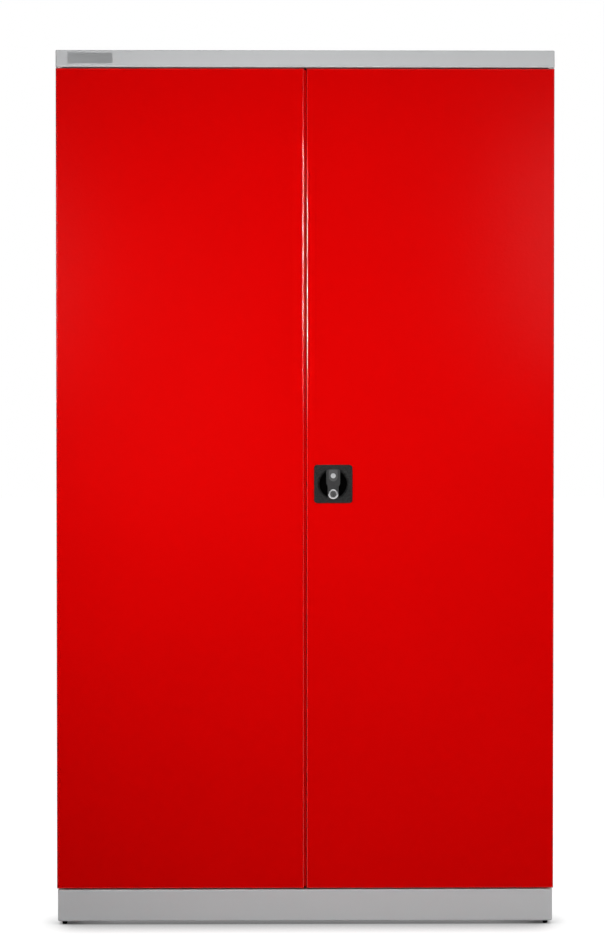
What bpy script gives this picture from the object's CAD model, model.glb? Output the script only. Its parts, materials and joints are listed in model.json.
import bpy
import json
from math import radians
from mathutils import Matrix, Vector


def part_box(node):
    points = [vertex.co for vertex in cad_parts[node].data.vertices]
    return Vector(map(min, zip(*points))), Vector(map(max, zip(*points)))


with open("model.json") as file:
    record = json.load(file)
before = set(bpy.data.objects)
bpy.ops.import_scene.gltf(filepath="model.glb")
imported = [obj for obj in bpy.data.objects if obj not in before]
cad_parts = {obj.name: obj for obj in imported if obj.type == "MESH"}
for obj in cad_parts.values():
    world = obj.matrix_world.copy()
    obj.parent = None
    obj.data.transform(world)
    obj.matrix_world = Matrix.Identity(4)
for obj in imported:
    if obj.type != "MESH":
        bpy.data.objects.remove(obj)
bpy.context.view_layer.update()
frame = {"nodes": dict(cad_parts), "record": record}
parts = frame["nodes"]

# ---- places taken from the frame ----
FRONT_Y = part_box("right_door_pan")[0][1]
HALF_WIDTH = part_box("plinth")[1][0]

# ---- camera: metres and degrees, in front of the doors and a little left of the middle ----
CAMERA_DISTANCE = 5.0
CAMERA_X = -0.056
CAMERA_Z = 1.001
CAMERA_LENS = 94.54
SENSOR_WIDTH = 36.0
CAMERA_TILT = 1.066
CAMERA_TURN = 0.577

# ---- room: strengths where white is 1 ----
WORLD_STRENGTH = 0.1
ROOM_GLOSS = 0.12            # the dim room in front of the doors, as gloss shows it
DIM_BEFORE = -0.7            # the world's Y direction up to which that room is dim
WHITE_FROM = 0.1             # and from which it is white

# ---- floor ----
FLOOR_SIZE = 60.0
FLOOR_TONE = 0.48            # diffuse tone that lights the cabinet, and the one that is seen
FLOOR_SEEN_TONE = 0.12
FLOOR_GLOW = 1.03
CONTACT_REACH = 0.115        # how far the soft shade round the cabinet's foot reaches
CONTACT_POWER = 1.5
CONTACT_BEHIND = 1 / 8       # share of that power behind the front, and past the sides
CONTACT_BESIDE = 0.12
SIDE_START = -0.03           # where it fades past the plinth's end, from and to
SIDE_END = 0.05
CONTACT_SAMPLES = 16

# ---- lamps ----
SOFTBOX_Y = FRONT_Y - 2.5

# ---- red coat ----
FACE_GLOSS = 0.001           # specular level of the doors' faces and of their folded edges
EDGE_GLOSS = 0.3
EDGE_SMOOTHING = 0.4         # roughness of the folded edges as a share of the faces'
FACE_FROM = 0.9995           # size of the normal's Y on a face, and where the fold is full
EDGE_UP_TO = 0.985

# ---- other materials ----
NOISE_LOW, NOISE_HIGH = 0.3, 0.7     # most of a noise's values lie between these
CUP_FROM = 0.001             # the handle plate turns from grained face to smooth cup between these,
FACE_BEFORE = 0.0015         # in metres behind and before the doors' front


def add_camera():
    data = bpy.data.cameras.new("camera")
    data.lens = CAMERA_LENS
    data.sensor_width = SENSOR_WIDTH
    camera = bpy.data.objects.new("camera", data)
    camera.location = (CAMERA_X, FRONT_Y - CAMERA_DISTANCE, CAMERA_Z)
    camera.rotation_euler = (radians(90 - CAMERA_TILT), 0, radians(-CAMERA_TURN))
    bpy.context.scene.collection.objects.link(camera)
    bpy.context.scene.camera = camera


def add_softbox(name, place, target, size, power, in_gloss=True, in_diffuse=True):
    """An area lamp of (width, height) and watts that points at a place."""
    data = bpy.data.lights.new(name, "AREA")
    data.shape = "RECTANGLE"
    data.size, data.size_y = size
    data.energy = power
    lamp = bpy.data.objects.new(name, data)
    lamp.location = place
    lamp.visible_camera = False
    lamp.visible_glossy = in_gloss
    lamp.visible_diffuse = in_diffuse
    lamp.rotation_euler = (Vector(target) - Vector(place)).to_track_quat("-Z", "Y").to_euler()
    bpy.context.scene.collection.objects.link(lamp)
    return lamp


def light_only(lamp, names):
    """Let a lamp reach the named pieces alone."""
    lit = bpy.data.collections.new(lamp.name + "_lit")
    for name in names:
        lit.objects.link(parts[name])
    lamp.light_linking.receiver_collection = lit


# ---- node trees ----
class Nodes:
    """Helpers for one node tree."""

    def __init__(self, tree):
        self.tree = tree

    def node(self, kind, **settings):
        node = self.tree.nodes.new(kind)
        for key, value in settings.items():
            setattr(node, key, value)
        return node

    def link(self, output, socket):
        self.tree.links.new(output, socket)

    def ranged(self, value, low, high, start=0.0, end=1.0):
        node = self.node("ShaderNodeMapRange")
        node.inputs["From Min"].default_value = low
        node.inputs["From Max"].default_value = high
        node.inputs["To Min"].default_value = start
        node.inputs["To Max"].default_value = end
        self.link(value, node.inputs["Value"])
        return node.outputs["Result"]

    def maths(self, operation, *values):
        """An operation on sockets and numbers."""
        node = self.node("ShaderNodeMath", operation=operation)
        for value, socket in zip(values, node.inputs):
            if isinstance(value, float):
                socket.default_value = value
            else:
                self.link(value, socket)
        return node.outputs[0]

    def coordinate(self, kind, axis):
        """One axis of a texture coordinate, such as Object or Normal."""
        split = self.node("ShaderNodeSeparateXYZ")
        self.link(self.node("ShaderNodeTexCoord").outputs[kind], split.inputs[0])
        return split.outputs[axis]

    def mixed(self, factor, first, second):
        """Mixes two shaders."""
        node = self.node("ShaderNodeMixShader")
        self.link(factor, node.inputs["Fac"])
        self.link(first, node.inputs[1])
        self.link(second, node.inputs[2])
        return node.outputs[0]


class Material(Nodes):
    """A Principled material with helpers for its procedural detail."""

    def __init__(self, name, color, roughness, metallic=0.0, **sockets):
        self.material = bpy.data.materials.new(name)
        self.material.use_nodes = True
        super().__init__(self.material.node_tree)
        self.shader = self.tree.nodes["Principled BSDF"]
        self.shader.inputs["Base Color"].default_value = (*color, 1.0)
        self.shader.inputs["Roughness"].default_value = roughness
        self.shader.inputs["Metallic"].default_value = metallic
        for socket, value in sockets.items():
            self.shader.inputs[socket.replace("_", " ")].default_value = value
        self.place = self.node("ShaderNodeTexCoord").outputs["Object"]
        self.relief = None

    def stretched(self, scale):
        mapping = self.node("ShaderNodeMapping")
        mapping.inputs["Scale"].default_value = scale
        self.link(self.place, mapping.inputs["Vector"])
        return mapping.outputs["Vector"]

    def noise(self, scale, detail=3.0, roughness=0.5, place=None):
        node = self.node("ShaderNodeTexNoise")
        node.inputs["Scale"].default_value = scale
        node.inputs["Detail"].default_value = detail
        node.inputs["Roughness"].default_value = roughness
        self.link(place or self.place, node.inputs["Vector"])
        return node.outputs["Fac"]

    def cells(self, scale):
        node = self.node("ShaderNodeTexVoronoi", feature="SMOOTH_F1")
        node.inputs["Scale"].default_value = scale
        self.link(self.place, node.inputs["Vector"])
        return node.outputs["Distance"]

    def tint(self, factor, first, second):
        """Mixes the base colour between two colours."""
        node = self.node("ShaderNodeMix", data_type="RGBA")
        node.inputs["A"].default_value = (*first, 1.0)
        node.inputs["B"].default_value = (*second, 1.0)
        self.link(factor, node.inputs["Factor"])
        self.link(node.outputs["Result"], self.shader.inputs["Base Color"])

    def vary_roughness(self, factor, low, high):
        self.link(self.ranged(factor, NOISE_LOW, NOISE_HIGH, low, high), self.shader.inputs["Roughness"])

    def bump(self, height, distance, strength=1.0):
        """Adds a layer of relief, distance in metres, over the layers before it."""
        node = self.node("ShaderNodeBump")
        node.inputs["Distance"].default_value = distance
        node.inputs["Strength"].default_value = strength
        self.link(height, node.inputs["Height"])
        if self.relief:
            self.link(self.relief, node.inputs["Normal"])
        self.relief = node.outputs["Normal"]
        self.link(self.relief, self.shader.inputs["Normal"])


# ---- materials ----
def red_powder_coat():
    """Gloss red powder coat: orange peel, faint mottling, and more gloss on the folded edges."""
    coat = Material("red_powder_coat", (0.66, 0.0008, 0.0008), 0.2, IOR=1.5)
    coat.tint(coat.noise(2.2, 2.0), (0.62, 0.0006, 0.0006), (0.70, 0.0010, 0.0010))
    coat.bump(coat.cells(260.0), 0.00022, 0.55)
    coat.bump(coat.noise(620.0, 2.0), 0.00012, 0.5)
    square_on = coat.maths("ABSOLUTE", coat.coordinate("Normal", "Y"))
    gloss = coat.ranged(square_on, EDGE_UP_TO, FACE_FROM, EDGE_GLOSS, FACE_GLOSS)
    coat.link(gloss, coat.shader.inputs["Specular IOR Level"])
    uneven = coat.ranged(coat.noise(7.0, 4.0), 0.0, 1.0, 0.17, 0.23)
    smoothing = coat.ranged(square_on, EDGE_UP_TO, FACE_FROM, EDGE_SMOOTHING, 1.0)
    coat.link(coat.maths("MULTIPLY", uneven, smoothing), coat.shader.inputs["Roughness"])
    return coat.material


def grey_powder_coat():
    """Light grey powder coat with a fine dry texture."""
    coat = Material("grey_powder_coat", (0.545, 0.556, 0.567), 0.42, IOR=1.48)
    coat.tint(coat.noise(3.0, 3.0), (0.529, 0.536, 0.545), (0.567, 0.576, 0.584))
    coat.vary_roughness(coat.noise(9.0, 4.0), 0.38, 0.5)
    coat.bump(coat.cells(420.0), 0.00012, 0.5)
    coat.bump(coat.noise(900.0, 2.0), 0.00008, 0.5)
    return coat.material


def moulded_plastic(name, color, lighter, roughness, grain):
    """Moulded plastic with a spark-eroded grain."""
    plastic = Material(name, color, roughness, IOR=1.49, Specular_IOR_Level=0.3)
    plastic.tint(plastic.noise(60.0, 4.0), color, lighter)
    plastic.vary_roughness(plastic.noise(140.0, 3.0), roughness - 0.06, roughness + 0.08)
    plastic.bump(plastic.cells(grain), 0.00012, 0.8)
    return plastic.material


def grained_plate():
    """Black plastic: coarse light-catching grain on the face, smooth and blacker inside the cup."""
    plastic = Material("grained_black", (0.01, 0.01, 0.01), 0.5, IOR=1.49)
    face = plastic.ranged(plastic.coordinate("Object", "Y"), FRONT_Y + CUP_FROM, FRONT_Y - FACE_BEFORE)
    grain = plastic.ranged(plastic.noise(420.0, 2.0, 0.7), 0.42, 0.68)
    plastic.tint(plastic.maths("MULTIPLY", grain, face), (0.0006, 0.0006, 0.0006), (0.036, 0.037, 0.037))
    plastic.link(plastic.ranged(face, 0.0, 1.0, 0.02, 0.25), plastic.shader.inputs["Specular IOR Level"])
    plastic.vary_roughness(plastic.noise(500.0, 2.0), 0.42, 0.6)
    plastic.bump(plastic.noise(900.0, 2.0), 0.0002, 0.8)
    return plastic.material


def zinc_plate(name, color, roughness):
    """Zinc-plated steel: bright metal with a faint cloudy passivation and drawn lines."""
    metal = Material(name, color, roughness, metallic=1.0)
    warm = (color[0] * 1.04, color[1] * 1.01, color[2] * 0.94)
    metal.tint(metal.noise(45.0, 4.0), color, warm)
    metal.vary_roughness(metal.noise(120.0, 3.0), roughness - 0.07, roughness + 0.1)
    metal.bump(metal.noise(300.0, 2.0, place=metal.stretched((1.0, 1.0, 0.06))), 0.00003, 0.5)
    return metal.material


def polished_chrome():
    metal = Material("polished_chrome", (0.86, 0.86, 0.87), 0.07, metallic=1.0)
    metal.vary_roughness(metal.noise(400.0, 2.0), 0.05, 0.12)
    metal.bump(metal.noise(900.0, 1.0), 0.00001, 0.3)
    return metal.material


def satin_aluminium(name, color):
    """Aluminium brushed along X."""
    metal = Material(name, color, 0.34, metallic=1.0)
    lines = metal.noise(1400.0, 2.0, place=metal.stretched((0.02, 1.0, 1.0)))
    metal.vary_roughness(lines, 0.28, 0.42)
    metal.bump(lines, 0.00002, 0.5)
    return metal.material


def nylon():
    plastic = Material("white_nylon", (0.78, 0.78, 0.74), 0.45, IOR=1.53, Subsurface_Weight=0.1)
    plastic.tint(plastic.noise(90.0, 3.0), (0.76, 0.76, 0.72), (0.82, 0.82, 0.79))
    plastic.bump(plastic.noise(700.0, 2.0), 0.00003, 0.5)
    return plastic.material


def black_rubber():
    rubber = Material("black_rubber", (0.018, 0.018, 0.018), 0.75, IOR=1.52)
    rubber.tint(rubber.noise(160.0, 4.0), (0.015, 0.015, 0.015), (0.03, 0.03, 0.029))
    rubber.bump(rubber.noise(800.0, 3.0), 0.00006, 0.6)
    return rubber.material


# ---- floor and world ----
def floor_material():
    """Shows white where nothing shades it, and keeps the cabinet's shadow.

    Its contact shade is strong before the cabinet's front and faint beside and behind it.
    """
    material = bpy.data.materials.new("floor_white")
    material.use_nodes = True
    tree = Nodes(material.node_tree)
    tree.tree.nodes.clear()

    def diffuse(tone):
        node = tree.node("ShaderNodeBsdfDiffuse")
        node.inputs["Color"].default_value = (tone, tone, tone, 1.0)
        return node.outputs[0]

    shade = tree.node("ShaderNodeAmbientOcclusion", samples=CONTACT_SAMPLES)
    shade.inputs["Distance"].default_value = CONTACT_REACH
    behind = tree.ranged(tree.coordinate("Object", "Y"), FRONT_Y, FRONT_Y + CONTACT_REACH,
                         CONTACT_POWER, CONTACT_POWER * CONTACT_BEHIND)
    beside = tree.ranged(tree.maths("ABSOLUTE", tree.coordinate("Object", "X")),
                         HALF_WIDTH + SIDE_START, HALF_WIDTH + SIDE_END, 1.0, CONTACT_BESIDE)
    contact = tree.maths("POWER", shade.outputs["AO"], tree.maths("MULTIPLY", behind, beside))
    glow = tree.node("ShaderNodeEmission")
    tree.link(tree.maths("MULTIPLY", contact, FLOOR_GLOW), glow.inputs["Strength"])
    seen = tree.node("ShaderNodeAddShader")
    tree.link(diffuse(FLOOR_SEEN_TONE), seen.inputs[0])
    tree.link(glow.outputs[0], seen.inputs[1])
    output = tree.node("ShaderNodeOutputMaterial")
    tree.link(tree.mixed(seen_rays(tree), diffuse(FLOOR_TONE), seen.outputs[0]), output.inputs["Surface"])
    return material


def seen_rays(tree):
    """1 for rays from the camera, from gloss and through glass, and 0 for the rest."""
    path = tree.node("ShaderNodeLightPath")
    seen = path.outputs["Is Camera Ray"]
    for kind in ("Is Glossy Ray", "Is Transmission Ray"):
        seen = tree.maths("MAXIMUM", seen, path.outputs[kind])
    return seen


def add_floor():
    half = FLOOR_SIZE / 2
    mesh = bpy.data.meshes.new("floor")
    mesh.from_pydata([(-half, -half, 0), (half, -half, 0), (half, half, 0), (-half, half, 0)], [],
                     [(0, 1, 2, 3)])
    floor = bpy.data.objects.new("floor", mesh)
    bpy.context.scene.collection.objects.link(floor)
    mesh.materials.append(floor_material())


def light_world():
    """A plain pale world: white where it is seen, and in gloss a white room behind and a dim one in front."""
    world = bpy.data.worlds.new("studio")
    bpy.context.scene.world = world
    world.use_nodes = True
    tree = Nodes(world.node_tree)
    tree.tree.nodes.clear()

    def background(strength):
        node = tree.node("ShaderNodeBackground")
        node.inputs["Color"].default_value = (1, 1, 1, 1)
        node.inputs["Strength"].default_value = strength
        return node.outputs[0]

    behind = tree.ranged(tree.coordinate("Generated", "Y"), DIM_BEFORE, WHITE_FROM)
    path = tree.node("ShaderNodeLightPath")
    glossy = tree.mixed(behind, background(ROOM_GLOSS), background(1.0))
    light = tree.mixed(path.outputs["Is Glossy Ray"], background(WORLD_STRENGTH), glossy)
    shown = tree.mixed(path.outputs["Is Camera Ray"], light, background(1.0))
    output = tree.node("ShaderNodeOutputWorld")
    tree.link(shown, output.inputs["Surface"])


def add_lamps():
    """Lamps on both sides, above and behind. The edge lights only pick out the doors' folded edges."""
    add_softbox("left_softbox", (-1.0, SOFTBOX_Y, 1.38), (-0.3, 0, 1.2), (0.4, 0.7), 4.2,
                in_diffuse=False)
    add_softbox("right_softbox", (0.76, SOFTBOX_Y, 1.66), (0.3, 0, 1.3), (0.16, 0.6), 2.0,
                in_diffuse=False)
    doors = ("left_door_pan", "right_door_pan")
    light_only(add_softbox("left_edge_light", (-1.0, SOFTBOX_Y, 1.46), (-0.3, 0, 1.2), (0.4, 0.5), 190,
                           in_diffuse=False), doors)
    light_only(add_softbox("right_edge_light", (0.9, SOFTBOX_Y, 1.57), (0.3, 0, 1.3), (0.3, 0.6), 220,
                           in_diffuse=False), doors)
    add_softbox("top_softbox", (0, FRONT_Y - 1.53, 3.14), (0, 0, 1.1), (2.6, 0.9), 8.6)
    add_softbox("left_fill", (-0.4, FRONT_Y - 1.24, 1.15), (0.5, 0, 0.955), (0.72, 0.72), 14.4,
                in_gloss=False)
    add_softbox("right_fill", (1.32, FRONT_Y - 1.52, 1.0), (0.27, 0, 1.27), (1.0, 1.0), 14, in_gloss=False)
    add_softbox("back_fill", (0.6, 3.0, 1.7), (0, 0.25, 0.95), (1.4, 1.4), 48, in_gloss=False)
    add_softbox("overhead", (0, 0.35, 3.6), (0, 0.1, 1.75), (1.6, 1.0), 16, in_gloss=False)


add_camera()
light_world()
add_floor()
add_lamps()

BY_SLOT = {
    "grey_paint": grey_powder_coat(),
    "red_paint": red_powder_coat(),
    "zinc": zinc_plate("zinc_plate", (0.62, 0.63, 0.64), 0.32),
    "black_plastic": grained_plate(),
    "grey_plastic": moulded_plastic("inlay_grey", (0.07, 0.07, 0.071), (0.088, 0.088, 0.089), 0.36, 1800.0),
    "chrome": polished_chrome(),
    "lock_metal": zinc_plate("dark_nickel", (0.16, 0.16, 0.165), 0.28),
    "white_nylon": nylon(),
    "rubber": black_rubber(),
    "plain_aluminium": satin_aluminium("anodised_plate", (0.6, 0.61, 0.62)),
}
BY_NODE = {
    "handle_bar": moulded_plastic("satin_charcoal", (0.024, 0.0245, 0.025), (0.034, 0.0345, 0.035),
                                  0.42, 1500.0),
    "handle_stud": satin_aluminium("satin_aluminium", (0.77, 0.78, 0.79)),
}
slots = {entry["node"]: entry["material_slot"] for entry in frame["record"]["subparts"]}
for name, piece in parts.items():
    piece.data.materials.clear()
    piece.data.materials.append(BY_NODE.get(name, BY_SLOT[slots[name]]))

scene = bpy.context.scene
scene.view_settings.view_transform = "Standard"
